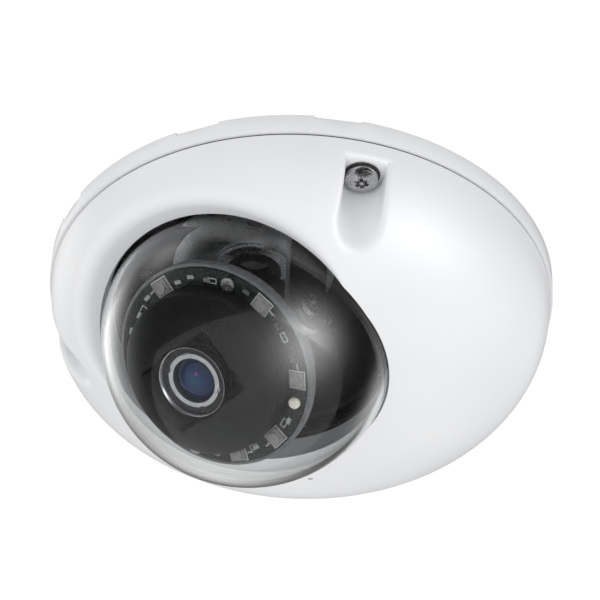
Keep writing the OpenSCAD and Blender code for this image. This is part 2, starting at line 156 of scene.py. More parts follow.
def finish_piece(name, mesh, body, sharp=35):
    mesh.shade_smooth()
    mesh.set_sharp_from_angle(angle=math.radians(sharp))
    piece = bpy.data.objects.new(name, mesh)
    bpy.context.scene.collection.objects.link(piece)
    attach(piece, body)
    return piece


def grid_faces(rings, around, closed_loop=False):
    """Quads between rings of points that each go all the way round."""
    steps = rings if closed_loop else rings - 1
    return [
        (i * around + j, i * around + (j + 1) % around,
         (i + 1) % rings * around + (j + 1) % around, (i + 1) % rings * around + j)
        for i in range(steps) for j in range(around)
    ]


def turned(profile, place, around=192, wobble=None):
    """Points and faces of a closed (radius, height) profile swept round the Z axis of place."""
    points = []
    for i, (r, h) in enumerate(profile):
        for j in range(around):
            a = 2 * math.pi * j / around
            grown = r + (wobble(i, j) if wobble else 0)
            points.append(place @ Vector((grown * math.cos(a), grown * math.sin(a), h)))
    return points, grid_faces(len(profile), around, closed_loop=True)


def box_at(place, w, d, h, lift=0.0):
    """Points and faces of a block that stands on z = lift of place."""
    points = [
        place @ Vector((x * w / 2, y * d / 2, lift + z * h))
        for z in (0, 1) for x, y in ((-1, -1), (1, -1), (1, 1), (-1, 1))
    ]
    faces = [(3, 2, 1, 0), (4, 5, 6, 7), (0, 1, 5, 4), (1, 2, 6, 5), (2, 3, 7, 6), (3, 0, 4, 7)]
    return points, faces


def gather(parts):
    """Joins several (points, faces) into one."""
    points, faces = [], []
    for some, quads in parts:
        faces += [tuple(i + len(points) for i in q) for q in quads]
        points += some
    return points, faces


# %% [markdown]
# ## Paint, plastic, metal and glass
# Each finish is one small node tree on a Principled shader. Noise in object space drives three
# things: a slight drift of colour, a drift of roughness, and a fine bump of the right scale, such as
# the orange peel of powder coat or the spark-eroded grain of moulded plastic. Object coordinates are
# in metres, so a scale of 1000 gives one feature per millimetre.

# %% One recipe for the solid finishes
def new_material(name):
    material = bpy.data.materials.new(name)
    material.use_nodes = True
    tree = material.node_tree
    tree.nodes.clear()
    output = tree.nodes.new("ShaderNodeOutputMaterial")
    return material, tree, output


def noise_of(tree, scale, detail=4.0, stretch=None):
    place = tree.nodes.new("ShaderNodeTexCoord")
    noise = tree.nodes.new("ShaderNodeTexNoise")
    noise.inputs["Scale"].default_value = scale
    noise.inputs["Detail"].default_value = detail
    if stretch:
        mapping = tree.nodes.new("ShaderNodeMapping")
        mapping.inputs["Scale"].default_value = stretch
        tree.links.new(place.outputs["Object"], mapping.inputs["Vector"])
        tree.links.new(mapping.outputs["Vector"], noise.inputs["Vector"])
    else:
        tree.links.new(place.outputs["Object"], noise.inputs["Vector"])
    return noise.outputs["Fac"]


def spread(tree, value, low, high):
    ranged = tree.nodes.new("ShaderNodeMapRange")
    ranged.inputs["From Min"].default_value = 0.3
    ranged.inputs["From Max"].default_value = 0.7
    ranged.inputs["To Min"].default_value = low
    ranged.inputs["To Max"].default_value = high
    tree.links.new(value, ranged.inputs["Value"])
    return ranged.outputs["Result"]


def two_tone(tree, value, dark, light):
    ramp = tree.nodes.new("ShaderNodeValToRGB")
    ramp.color_ramp.elements[0].position = 0.3
    ramp.color_ramp.elements[1].position = 0.7
    ramp.color_ramp.elements[0].color = (*dark, 1)
    ramp.color_ramp.elements[1].color = (*light, 1)
    tree.links.new(value, ramp.inputs["Fac"])
    return ramp.outputs["Color"]


def solid_finish(name, dark, light, rough=(0.3, 0.4), metal=0.0, drift=60.0, grain=2500.0,
                 bump=0.1, depth=0.02, coat=0.0, stretch=None):
    """A drift of colour and roughness at one scale, and a fine bump at another."""
    material, tree, output = new_material(name)
    shader = tree.nodes.new("ShaderNodeBsdfPrincipled")
    shader.inputs["Metallic"].default_value = metal
    shader.inputs["Coat Weight"].default_value = coat
    shader.inputs["Coat Roughness"].default_value = 0.12
    slow = noise_of(tree, drift, stretch=stretch)
    fine = noise_of(tree, grain, detail=2.0, stretch=stretch)
    tree.links.new(two_tone(tree, slow, dark, light), shader.inputs["Base Color"])
    tree.links.new(spread(tree, fine, *rough), shader.inputs["Roughness"])
    relief = tree.nodes.new("ShaderNodeBump")
    relief.inputs["Strength"].default_value = bump
    relief.inputs["Distance"].default_value = depth * MM
    tree.links.new(fine, relief.inputs["Height"])
    tree.links.new(relief.outputs["Normal"], shader.inputs["Normal"])
    tree.links.new(shader.outputs["BSDF"], output.inputs["Surface"])
    return material


white_paint = solid_finish("white_powder_coat", (0.80, 0.81, 0.825), (0.835, 0.84, 0.85),
                           rough=(0.34, 0.42),
                           drift=45, grain=1500, bump=0.10, depth=0.012, coat=0.08)
black_moulding = solid_finish("black_moulding", (0.006, 0.0062, 0.007), (0.012, 0.0122, 0.014),
                              rough=(0.42, 0.56), drift=180, grain=4200, bump=0.35, depth=0.03)
liner_black = solid_finish("liner_black", (0.012, 0.012, 0.0135), (0.024, 0.024, 0.0265), rough=(0.30, 0.5),
                           drift=260, grain=900, bump=0.5, depth=0.06)
shroud_black = solid_finish("shroud_black", (0.004, 0.0042, 0.0047), (0.009, 0.0093, 0.0105),
                            rough=(0.40, 0.52),
                            drift=300, grain=3600, bump=0.5, depth=0.03)
soft_rubber = solid_finish("soft_rubber", (0.018, 0.018, 0.019), (0.035, 0.035, 0.036), rough=(0.6, 0.75),
                           drift=150, grain=1800, bump=0.3, depth=0.04)
board_lacquer = solid_finish("board_lacquer", (0.005, 0.0065, 0.007), (0.010, 0.0125, 0.013),
                             rough=(0.22, 0.34),
                             drift=700, grain=3000, bump=0.25, depth=0.02, coat=0.3)
chip_resin = solid_finish("chip_resin", (0.02, 0.02, 0.022), (0.04, 0.04, 0.042), rough=(0.5, 0.65),
                          drift=200, grain=5000, bump=0.3, depth=0.02)
thermal_pad = solid_finish("thermal_pad", (0.38, 0.52, 0.62), (0.46, 0.60, 0.70), rough=(0.7, 0.85),
                           drift=400, grain=2600, bump=0.4, depth=0.05)
ivory_nylon = solid_finish("ivory_nylon", (0.74, 0.71, 0.62), (0.82, 0.79, 0.71), rough=(0.4, 0.55),
                           drift=300, grain=2500, bump=0.2, depth=0.02)
print_ink = solid_finish("print_ink", (0.55, 0.57, 0.56), (0.72, 0.74, 0.73), rough=(0.5, 0.6),
                         drift=900, grain=5000, bump=0.2, depth=0.01)
screw_steel = solid_finish("screw_steel", (0.46, 0.46, 0.47), (0.62, 0.62, 0.63),
                           rough=(0.18, 0.34), metal=1.0,
                           drift=500, grain=2600, bump=0.25, depth=0.02)
zinc_plate = solid_finish("zinc_plate", (0.56, 0.57, 0.58), (0.68, 0.69, 0.70),
                          rough=(0.25, 0.42), metal=1.0,
                          drift=250, grain=1600, bump=0.2, depth=0.02, stretch=(1, 1, 6))
turned_silver = solid_finish("turned_silver", (0.70, 0.71, 0.73), (0.84, 0.85, 0.87),
                             rough=(0.14, 0.24), metal=1.0,
                             drift=600, grain=3200, bump=0.2, depth=0.01)
knurl_grey = solid_finish("knurl_grey", (0.10, 0.103, 0.108), (0.17, 0.173, 0.18), rough=(0.28, 0.4),
                          drift=800, grain=3000, bump=0.2, depth=0.02, coat=0.2)
lens_black = solid_finish("lens_black", (0.010, 0.010, 0.012), (0.018, 0.018, 0.021), rough=(0.22, 0.34),
                          drift=500, grain=2600, bump=0.15, depth=0.01)
lamp_ceramic = solid_finish("lamp_ceramic", (0.16, 0.16, 0.155), (0.30, 0.30, 0.29), rough=(0.3, 0.45),
                            drift=900, grain=4000, bump=0.2, depth=0.02, coat=0.5)
print("the finishes are mixed")

# %% [markdown]
# ## The clear bubble and the coated lens
# The bubble is polished polycarbonate, so it bends light a little and mirrors the studio. Lamps could
# not shine through a plain glass shader, and the ball would stay black, so rays that only carry lamp
# light pass straight through. A weak, rough gloss lies over it, the bloom that a moulded bubble
# always has. The lens glass is dark blue with a greenish middle, the colours the coatings on a real
# lens give back, and it carries one small magenta glint, a painted reflection in its base colour.

# %% Glass finishes
BLOOM = 0.008
GLASS_R = 4.7
# The glint is a painted reflection: a small magenta spot in the lens glass's base colour.
GLINT_AT = (1.2, 0.9)
GLINT_R = 0.55


def bubble_finish():
    material, tree, output = new_material("clear_polycarbonate")
    glass = tree.nodes.new("ShaderNodeBsdfPrincipled")
    glass.inputs["Transmission Weight"].default_value = 1.0
    glass.inputs["IOR"].default_value = 1.5
    smear = noise_of(tree, 70)
    tint = two_tone(tree, smear, (0.95, 0.96, 0.965), (0.98, 0.985, 0.985))
    tree.links.new(tint, glass.inputs["Base Color"])
    tree.links.new(spread(tree, smear, 0.0, 0.012), glass.inputs["Roughness"])
    bloom = tree.nodes.new("ShaderNodeBsdfAnisotropic")
    bloom.inputs["Roughness"].default_value = 0.38
    bloom.inputs["Color"].default_value = (0.9, 0.92, 0.95, 1)
    hazed = tree.nodes.new("ShaderNodeMixShader")
    hazed.inputs["Fac"].default_value = BLOOM
    tree.links.new(glass.outputs["BSDF"], hazed.inputs[1])
    tree.links.new(bloom.outputs["BSDF"], hazed.inputs[2])
    clear = tree.nodes.new("ShaderNodeBsdfTransparent")
    clear.inputs["Color"].default_value = (0.95, 0.955, 0.96, 1)
    kind = tree.nodes.new("ShaderNodeLightPath")
    either = tree.nodes.new("ShaderNodeMath")
    either.operation = "MAXIMUM"
    tree.links.new(kind.outputs["Is Shadow Ray"], either.inputs[0])
    tree.links.new(kind.outputs["Is Diffuse Ray"], either.inputs[1])
    chosen = tree.nodes.new("ShaderNodeMixShader")
    tree.links.new(either.outputs["Value"], chosen.inputs["Fac"])
    tree.links.new(hazed.outputs["Shader"], chosen.inputs[1])
    tree.links.new(clear.outputs["BSDF"], chosen.inputs[2])
    tree.links.new(chosen.outputs["Shader"], output.inputs["Surface"])
    return material


def lens_finish():
    """Dark coated glass: the colour runs from teal on the axis to deep blue at the rim, with a painted magenta
    glint.
    """
    material, tree, output = new_material("coated_glass")
    shader = tree.nodes.new("ShaderNodeBsdfPrincipled")
    shader.inputs["Coat Weight"].default_value = 0.5
    shader.inputs["Specular IOR Level"].default_value = 0.25
    shader.inputs["Coat Roughness"].default_value = 0.02
    shader.inputs["Coat Tint"].default_value = (0.62, 0.72, 1.0, 1)
    axis_point = ball_frame @ Vector((0, 0, LENS_H - 1)) * MM
    place = tree.nodes.new("ShaderNodeTexCoord")
    offset = tree.nodes.new("ShaderNodeVectorMath")
    offset.operation = "DISTANCE"
    offset.inputs[1].default_value = axis_point
    tree.links.new(place.outputs["Object"], offset.inputs[0])
    ramp = tree.nodes.new("ShaderNodeValToRGB")
    ramp.color_ramp.elements[0].color = (0.005, 0.060, 0.090, 1)
    ramp.color_ramp.elements[1].color = (0.001, 0.003, 0.018, 1)
    middle = ramp.color_ramp.elements.new(0.45)
    middle.color = (0.002, 0.018, 0.075, 1)
    reach = tree.nodes.new("ShaderNodeMapRange")
    reach.inputs["From Max"].default_value = GLASS_R * MM
    tree.links.new(offset.outputs["Value"], reach.inputs["Value"])
    tree.links.new(reach.outputs["Result"], ramp.inputs["Fac"])
    # Painted reflection: a magenta glint mixed into the base colour at a fixed spot on the glass.
    glint = tree.nodes.new("ShaderNodeVectorMath")
    glint.operation = "DISTANCE"
    glint.inputs[1].default_value = ball_frame @ Vector((*GLINT_AT, LENS_H - 1)) * MM
    tree.links.new(place.outputs["Object"], glint.inputs[0])
    painted_glint_mask = tree.nodes.new("ShaderNodeMapRange")
    painted_glint_mask.inputs["From Min"].default_value = GLINT_R * MM
    painted_glint_mask.inputs["From Max"].default_value = 0.2 * MM
    tree.links.new(glint.outputs["Value"], painted_glint_mask.inputs["Value"])
    tint_with_painted_glint = tree.nodes.new("ShaderNodeMix")
    tint_with_painted_glint.data_type = "RGBA"
    tint_with_painted_glint.inputs["B"].default_value = (0.22, 0.03, 0.20, 1)
    tree.links.new(painted_glint_mask.outputs["Result"], tint_with_painted_glint.inputs["Factor"])
    tree.links.new(ramp.outputs["Color"], tint_with_painted_glint.inputs["A"])
    tree.links.new(tint_with_painted_glint.outputs["Result"], shader.inputs["Base Color"])
    tree.links.new(spread(tree, noise_of(tree, 900), 0.05, 0.12), shader.inputs["Roughness"])
    tree.links.new(shader.outputs["BSDF"], output.inputs["Surface"])
    return material


clear_polycarbonate = bubble_finish()
coated_glass = lens_finish()

# %% [markdown]
# ## The white cover
# The real cover is one die-cast shell. Its outside is a squashed dome, and a cone cut round the
# bubble leaves the bright dished band. Boolean cuts would give hard, faceted edges, so the shell is
# woven instead: round the dish's axis, each step draws one loop, from the seat of the bubble out over
# the lip, the dish and the dome to the seam, and back along the inside. Where dish and dome meet, the
# points slide onto a blend of the two surfaces, and that is the soft crease a caster would leave.

# %% The dome as a formula
DOME_O = np.array([0.0, 0.0, -COVER_TOP])


def dome_norm(p, inset=0.0):
    """1 on the dome's skin, less inside, more outside. p is an array of points from DOME_O."""
    r = np.hypot(p[..., 0], p[..., 1]) / (COVER_R - inset)
    d = np.clip(-p[..., 2], 0, None) / (CROWN - COVER_TOP - inset)
    return (r ** FULLNESS + d ** FULLNESS) ** (1 / FULLNESS)


def dome_gap(p, inset=0.0):
    """Distance of points from the dome's skin, in mm, negative inside."""
    n = np.maximum(dome_norm(p - DOME_O, inset), 1e-6)
    return np.linalg.norm(p - DOME_O, axis=-1) * (1 - 1 / n)


def soft_max(a, b, k):
    reach = np.maximum(k - np.abs(a - b), 0)
    return np.maximum(a, b) + reach * reach / (4 * np.maximum(k, 1e-9))


def settle(points, level, steps=5):
    """Moves points along the slope of level until it is zero."""
    tiny = 0.01
    for _ in range(steps):
        here = level(points)
        slope = np.stack([(level(points + tiny * e) - here) / tiny for e in np.eye(3)], axis=-1)
        size = np.maximum((slope ** 2).sum(-1), 0.05)
        points = points - (here / size)[..., None] * slope
    return points


def np_frame(place):
    m = np.array(place)
    return m[:3, :3], m[:3, 3]


# %% The loops of the cover
AROUND = 288
dish_turn, centre = np_frame(dish_frame)
flange_turn, _ = np_frame(flange_frame)
dish_axis, flange_axis = dish_turn[:, 2], flange_turn[:, 2]
psi = np.arange(AROUND) * 2 * math.pi / AROUND
outward = np.cos(psi)[:, None] * dish_turn[:, 0] + np.sin(psi)[:, None] * dish_turn[:, 1]

LIP_H = math.sqrt(SEAT_R ** 2 - DISH_R ** 2)
arc = np.radians(np.linspace(128, math.degrees(math.atan2(DISH_R, LIP_H)), 300))
path_r = np.concatenate([SEAT_R * np.sin(arc), np.full(40, DISH_R), np.linspace(DISH_R, 62, 301)[1:]])
path_h = np.concatenate([SEAT_R * np.cos(arc), np.linspace(LIP_H, DISH_H, 41)[1:],
                         DISH_H + (np.linspace(DISH_R, 62, 301)[1:] - DISH_R) / DISH_FLARE])
LIP_AT, CONE_AT = 299.0, 339.0
path = centre + path_r[None, :, None] * outward[:, None, :] + path_h[None, :, None] * dish_axis


def first_above(level, start):
    """Per loop, the place on the path where level first rises through zero after start."""
    found = np.zeros(AROUND)
    for i in range(AROUND):
        j = int(math.ceil(start[i]))
        while level[i, j] < 0:
            j += 1
        before = max(j - 1, 0)
        rise = level[i, j] - level[i, before]
        found[i] = before + (0 if rise <= 0 else np.clip(-level[i, before] / rise, 0, 1))
    return np.maximum(found, start)


def on_path(place):
    """Points of every loop at a fractional place on its path."""
    low = np.clip(np.floor(place).astype(int), 0, path.shape[1] - 2)
    part = (place - low)[:, None]
    rows = np.arange(AROUND)
    return path[rows, low] * (1 - part) + path[rows, low + 1] * part


seat_at = first_above((path - centre) @ flange_axis - LAND, np.zeros(AROUND))
edge_at = first_above(dome_gap(path), seat_at)
widest = float((edge_at - CONE_AT).max()) * (62 - DISH_R) / 300
print("the dish band is widest at", round(widest, 1), "mm across")


# %% Weave the shell
def stretch_between(a, b, steps, bias=1.0):
    """Fractional places from a to b, without a itself."""
    return [a + (b - a) * (1 - (1 - i / steps) ** bias) for i in range(1, steps + 1)]


def over_dome(start, end, steps, inset=0.0, bias=1.0):
    """Points that run over the dome's skin from one direction to another, without the first."""
    a = start / np.linalg.norm(start, axis=1)[:, None]
    b = end / np.linalg.norm(end, axis=1)[:, None]
    angle = np.arccos(np.clip((a * b).sum(1), -1, 1))[:, None]
    rows = []
    for i in range(1, steps + 1):
        t = (i / steps) ** bias
        d = (np.sin((1 - t) * angle) * a + np.sin(t * angle) * b) / np.maximum(np.sin(angle), 1e-9)
        rows.append(DOME_O + d / dome_norm(d, inset)[:, None])
    return rows


seam_pierce = centre + dish_axis * ((-COVER_TOP - centre[2]) / dish_axis[2])
level_out = outward - (outward[:, 2:3] / dish_axis[2]) * dish_axis
level_out = level_out[:, :2] / np.linalg.norm(level_out[:, :2], axis=1)[:, None]
along = level_out @ seam_pierce[:2]
reach_out = -along + np.sqrt(along ** 2 + COVER_R ** 2 - (seam_pierce[:2] ** 2).sum())
rim_way = (seam_pierce[:2] + reach_out[:, None] * level_out) / COVER_R


def seam_ring(r, z):
    return np.concatenate([rim_way * r, np.full((AROUND, 1), z)], axis=1)


lip_end = np.minimum(np.maximum(LIP_AT, seat_at), edge_at)
cone_start = np.minimum(np.maximum(CONE_AT, seat_at), edge_at)
loops = [on_path(seat_at)]
loops += [on_path(q) for q in stretch_between(seat_at, lip_end, 5)]
loops += [on_path(q) for q in stretch_between(lip_end, cone_start, 3)]
loops += [on_path(q) for q in stretch_between(cone_start, edge_at, 16, bias=1.6)]
loops += over_dome(loops[-1] - DOME_O, seam_ring(COVER_R, -COVER_TOP - 0.3) - DOME_O, 56, bias=1.5)
crease_end = len(loops)
loops += [seam_ring(COVER_R - 0.08, -COVER_TOP - 0.1), seam_ring(COVER_R - 0.3, -COVER_TOP)]
loops += [seam_ring(COVER_R - COVER_T, -COVER_TOP)]

seat_out = loops[0] - centre
seat_out = seat_out - (seat_out @ flange_axis)[:, None] * flange_axis
seat_out = seat_out / np.linalg.norm(seat_out, axis=1)[:, None]
width = np.full(AROUND, 5.5)
for _ in range(60):
    width = np.where(dome_gap(loops[0] + width[:, None] * seat_out, COVER_T) > -0.3, width - 0.08, width)
collar = loops[0] + np.maximum(width, 0.6)[:, None] * seat_out
low, high = np.zeros(AROUND), np.full(AROUND, 40.0)
for _ in range(40):
    half = (low + high) / 2
    outside = dome_gap(collar + half[:, None] * flange_axis, COVER_T) > 0
    low, high = np.where(outside, low, half), np.where(outside, half, high)
collar_foot = collar + low[:, None] * flange_axis
inner_start = seam_ring(COVER_R - COVER_T, -COVER_TOP - 0.2) - DOME_O
loops += over_dome(inner_start, collar_foot - DOME_O, 22, inset=COVER_T)
loops += [collar * (1 - t) + collar_foot * t for t in (0.5, 0.0)]

# %% Soften the crease
CREASE = 3.2
crease = np.clip((edge_at - CONE_AT) * (62 - DISH_R) / 300 * 0.9, 0, CREASE)
cone_slope = math.cos(math.atan(DISH_FLARE))


def dish_gap(p):
    """Distance outside the dish's cone, in mm."""
    local = (p - centre) @ dish_turn
    flare = DISH_R + DISH_FLARE * (local[..., 2] - DISH_H)
    return (np.hypot(local[..., 0], local[..., 1]) - flare) * cone_slope


for i in range(10, crease_end):
    near = (crease > 0.05) & (np.abs(dome_gap(loops[i])) < 4) & (np.abs(dish_gap(loops[i])) < 4)
    if near.any():
        k = crease[near]
        loops[i][near] = settle(loops[i][near], lambda p, k=k: soft_max(dome_gap(p), -dish_gap(p), k))

shell_points = [tuple(p) for loop in loops for p in loop]
shell_faces = grid_faces(len(loops), AROUND, closed_loop=True)
print("the shell has", len(shell_points), "points in", len(loops), "rings")

# %% [markdown]
# ## The flutes of the cover screws
# Each screw sits at the end of a flute, a groove that is round towards the middle and open outward,
# and fades out down the dome. A boss inside the shell gives it a wall. Here a boolean is the right
# tool: the shell is closed, so a boss is added and one finely ringed U-shaped body cuts each flute.
# The rim is then split into short edges and settled onto a blend, as the crease was.

# %% Cutters
SCREW_RING = 49.3
SCREW_ANGLE = math.radians(54.5)
FLUTE_R = 4.3
SEAT_Z = 9.2
screw_spots = [Vector((s * SCREW_RING * math.sin(SCREW_ANGLE), -SCREW_RING * math.cos(SCREW_ANGLE), 0))
               for s in (-1, 1)]


def ringed_cylinder(spot, r, top, bottom, around=96, step=0.5):
    """A closed cylinder with a ring of points every step, upright at spot."""
    rings = max(2, int((top - bottom) / step) + 1)
    heights = [top + (bottom - top) * i / (rings - 1) for i in range(rings)]
    points = [spot + Vector((r * math.cos(a), r * math.sin(a), z))
              for z in heights for a in (2 * math.pi * j / around for j in range(around))]
    faces = grid_faces(rings, around)
    faces += [tuple(range(around)), tuple(reversed(range((rings - 1) * around, rings * around)))]
    return points, faces


def open_flute(spot, top, bottom, step=0.6, reach=12.0):
    """A closed U-shaped body, round towards the middle of the camera and open outward."""
    out = Vector((spot.x, spot.y, 0)).normalized()
    side = Vector((-out.y, out.x, 0))
    arc = [(-FLUTE_R * math.cos(a), FLUTE_R * math.sin(a))
           for a in (math.pi * (i / 48 - 0.5) for i in range(49))]
    run = [(reach * i / 24, FLUTE_R) for i in range(1, 25)]
    across = [(reach, FLUTE_R * (1 - i / 8)) for i in range(1, 16)]
    outline = arc + run + across + [(x, -y) for x, y in reversed(run)]
    rings = int((top - bottom) / step) + 1
    points = [spot + out * x + side * y + Vector((0, 0, top + (bottom - top) * i / (rings - 1)))
              for i in range(rings) for x, y in outline]
    around = len(outline)
    faces = grid_faces(rings, around)
    faces += [tuple(range(around)), tuple(reversed(range((rings - 1) * around, rings * around)))]
    return points, faces


def loose(name, parts):
    points, faces = gather(parts)
    mesh = bpy.data.meshes.new(name)
    mesh.from_pydata([tuple(p) for p in points], [], faces)
    work = bmesh.new()
    work.from_mesh(mesh)
    bmesh.ops.remove_doubles(work, verts=work.verts, dist=1e-4)
    bmesh.ops.recalc_face_normals(work, faces=work.faces)
    work.to_mesh(mesh)
    work.free()
    piece = bpy.data.objects.new(name, mesh)
    bpy.context.scene.collection.objects.link(piece)
    return piece


def dome_core(inset, around=192, steps=48):
    """A closed body just under the dome's skin."""
    profile = []
    for i in range(steps):
        t = math.pi / 2 * i / steps
        profile.append(((COVER_R - inset) * math.cos(t) ** (2 / FULLNESS),
                        -COVER_TOP - 0.01 - (CROWN - COVER_TOP - inset) * math.sin(t) ** (2 / FULLNESS)))
    profile += [(0.02, -CROWN + inset), (0.02, -COVER_TOP)]
    return turned(profile, Matrix.Identity(4), around)


def dish_core(extra, around=192):
    """A closed body that fills the dish, a little wider than the dish itself."""
    foot, top = -12.0, 60.0
    profile = [(0.02, foot), (DISH_R + extra, foot), (DISH_R + extra, DISH_H),
               (DISH_R + extra + DISH_FLARE * (top - DISH_H), top), (0.02, top)]
    return turned(profile, dish_frame, around)


def carve(piece, tool, kind):
    step = piece.modifiers.new(kind.lower(), "BOOLEAN")
    step.operation = kind
    step.solver = "EXACT"
    step.object = tool


BOSS_WALL = 1.5
UNDER_SKIN = 0.4
shell = loose("shell_work", [(shell_points, shell_faces)])
bosses = loose("boss_work", [ringed_cylinder(s, FLUTE_R + BOSS_WALL, -SEAT_Z + 1.8, -34, step=40)
                             for s in screw_spots])
core = loose("core_work", [dome_core(UNDER_SKIN)])
dish_fill = loose("dish_work", [dish_core(UNDER_SKIN)])
flutes = loose("flute_work", [open_flute(s, -SEAT_Z, -60) for s in screw_spots])
holes = loose("hole_work", [ringed_cylinder(s, 1.8, 0, -40, around=32, step=60) for s in screw_spots]
              + [ringed_cylinder(Vector((-12.2, 20, 0)), 0.6, 0, -60, around=24, step=80)])
carve(bosses, core, "INTERSECT")
carve(bosses, dish_fill, "DIFFERENCE")
for tool, kind in ((bosses, "UNION"), (flutes, "DIFFERENCE"), (holes, "DIFFERENCE")):
    carve(shell, tool, kind)
bpy.context.view_layer.update()
cut = bpy.data.meshes.new_from_object(shell.evaluated_get(bpy.context.evaluated_depsgraph_get()))
for work_object in (shell, bosses, core, dish_fill, flutes, holes):
    bpy.data.objects.remove(work_object)
print("after the cuts the shell has", len(cut.vertices), "points")

# %% Soften the rims of the flutes
RIM = 1.5


def flute_gap(p):
    """Distance outside the nearer flute, in mm."""
    gaps = []
    for s in screw_spots:
        out = np.array([s.x, s.y]) / SCREW_RING
        along = (p[..., 0] - s.x) * out[0] + (p[..., 1] - s.y) * out[1]
        aside = (p[..., 0] - s.x) * -out[1] + (p[..., 1] - s.y) * out[0]
        gaps.append(np.maximum(np.hypot(np.minimum(along, 0), aside) - FLUTE_R, p[..., 2] + SEAT_Z))
    return np.minimum(*gaps)


def points_of(work):
    return np.array([v.co for v in work.verts])


work = bmesh.new()
work.from_mesh(cut)
for _ in range(3):
    at = points_of(work)
    near_rim = (np.abs(dome_gap(at)) < RIM * 1.6) & (np.abs(flute_gap(at)) < RIM * 1.6)
    for v, near in zip(work.verts, near_rim):
        v.tag = bool(near)
    big = [f for f in work.faces if any(v.tag for v in f.verts) and len(f.verts) > 4]
    bmesh.ops.triangulate(work, faces=big)
    long_edges = [e for e in work.edges if e.verts[0].tag and e.verts[1].tag and e.calc_length() > 0.45]
    bmesh.ops.subdivide_edges(work, edges=long_edges, cuts=1, use_grid_fill=True)
at = points_of(work)
rim = (np.abs(dome_gap(at)) < RIM * 1.2) & (np.abs(flute_gap(at)) < RIM * 1.2) & (dome_gap(at) > -RIM)
rim &= (dome_gap(at) > -0.02) | (np.abs(flute_gap(at)) < 0.02)
at[rim] = settle(at[rim], lambda p: soft_max(dome_gap(p), -flute_gap(p), RIM))
for v, p in zip(work.verts, at):
    v.co = Vector(p) * MM
bmesh.ops.triangulate(work, faces=[f for f in work.faces if len(f.verts) > 4])
cover_mesh = bpy.data.meshes.new("cover_casting")
work.to_mesh(cover_mesh)
work.free()
cover = finish_piece("cover_casting", cover_mesh, "cover", sharp=38)
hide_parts("cover_shell")
cover.data.materials.append(white_paint)
print("the cover has", len(cover_mesh.polygons), "faces")

# %% [markdown]
# ## The bubble
# The bubble is a thin half sphere on a short skirt, with a flange that the clamp presses on a seal.
# Both walls are real, a little over a millimetre apart, so the glass shader bends light in and out as
# the moulding does.

# %% Blow the bubble
BUBBLE_R = 31.3
WALL = 1.3
SKIRT = 3.4
FLANGE_R = 34.2
FLANGE_FOOT = -5.2


def quarter(r, steps, start=90.0):
    """A profile from the equator of a sphere to just beside its pole."""
    angles = [math.radians(start * (1 - i / steps)) for i in range(steps)]
    return [(r * math.sin(a), r * math.cos(a)) for a in angles] + [(0.02, r)]


bubble_profile = [(BUBBLE_R - 0.6, FLANGE_FOOT), (FLANGE_R - 0.2, FLANGE_FOOT), (FLANGE_R, FLANGE_FOOT + 0.2),
                  (FLANGE_R, -SKIRT - 0.2), (FLANGE_R - 0.2, -SKIRT), (BUBBLE_R + 0.2, -SKIRT),
                  (BUBBLE_R - 0.03, -SKIRT + 0.2), (BUBBLE_R - 0.02, -1.5)]
bubble_profile += quarter(BUBBLE_R, 64)
bubble_profile += list(reversed(quarter(BUBBLE_R - WALL, 64)))
bubble = new_piece("bubble_moulding", *turned(bubble_profile, flange_frame, around=256), "cover",
                   "clear_bubble", 40)
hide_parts("bubble")
bubble.data.materials.append(clear_polycarbonate)
bubble_low, bubble_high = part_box("bubble")
print("the bubble runs from", round(bubble_high.z / MM, 1), "to", round(bubble_low.z / MM, 1), "mm")

# %% [markdown]
# ## The knurled ring and the marks on the lamp board
# A narrow ring with a fine knurl frames the lamp board. The knurl is real geometry: the outer edge of
# the turned profile steps in and out. The board carries white printed frames round each lamp and
# short ticks beside them, with no letters, and small solder pads. They are thin blocks laid on the
# board in the ball's own frame.

# %% Knurled ring
BOARD_R = 21.2
BOARD_H = 15.9
RING_R = BOARD_R + 0.8
TEETH = 180


def knurl(i, j):
    return -0.08 if i in (1, 2, 3) and j % 4 in (2, 3) else 0.0


RING_FOOT = BOARD_H - 3
RING_TOP = BOARD_H - 0.2
ring_profile = [(BOARD_R + 0.05, RING_FOOT), (RING_R - 0.1, RING_FOOT), (RING_R, RING_FOOT + 0.2),
                (RING_R, RING_TOP - 0.2), (RING_R - 0.15, RING_TOP), (BOARD_R + 0.2, RING_TOP),
                (BOARD_R + 0.05, RING_TOP - 0.15)]
trim = new_piece("knurled_ring", *turned(ring_profile, ball_frame, around=TEETH * 4, wobble=knurl), "ball",
                 "knurled_grey", 30)
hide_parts("trim_ring")
trim.data.materials.append(knurl_grey)

# %% Printed marks and pads
LAMP_ANGLES = (18, 91, 165, 251, 282, 326)
LAMP_RING = 19.2
INK = 0.03


def on_ring(angle, radius=LAMP_RING, lift=BOARD_H, turn=0.0):
    spun = ball_frame @ Matrix.Rotation(math.radians(angle), 4, "Z")
    return spun @ Matrix.Translation((radius, 0, lift)) @ Matrix.Rotation(math.radians(turn), 4, "Z")


def frame_marks(place, w, d, line=0.16):
    """A printed rectangle: four thin strips."""
    strips = []
    for s in (-1, 1):
        strips.append(box_at(place @ Matrix.Translation((0, s * d / 2, 0)), w + line, line, INK))
        strips.append(box_at(place @ Matrix.Translation((s * w / 2, 0, 0)), line, d - line, INK))
    return strips


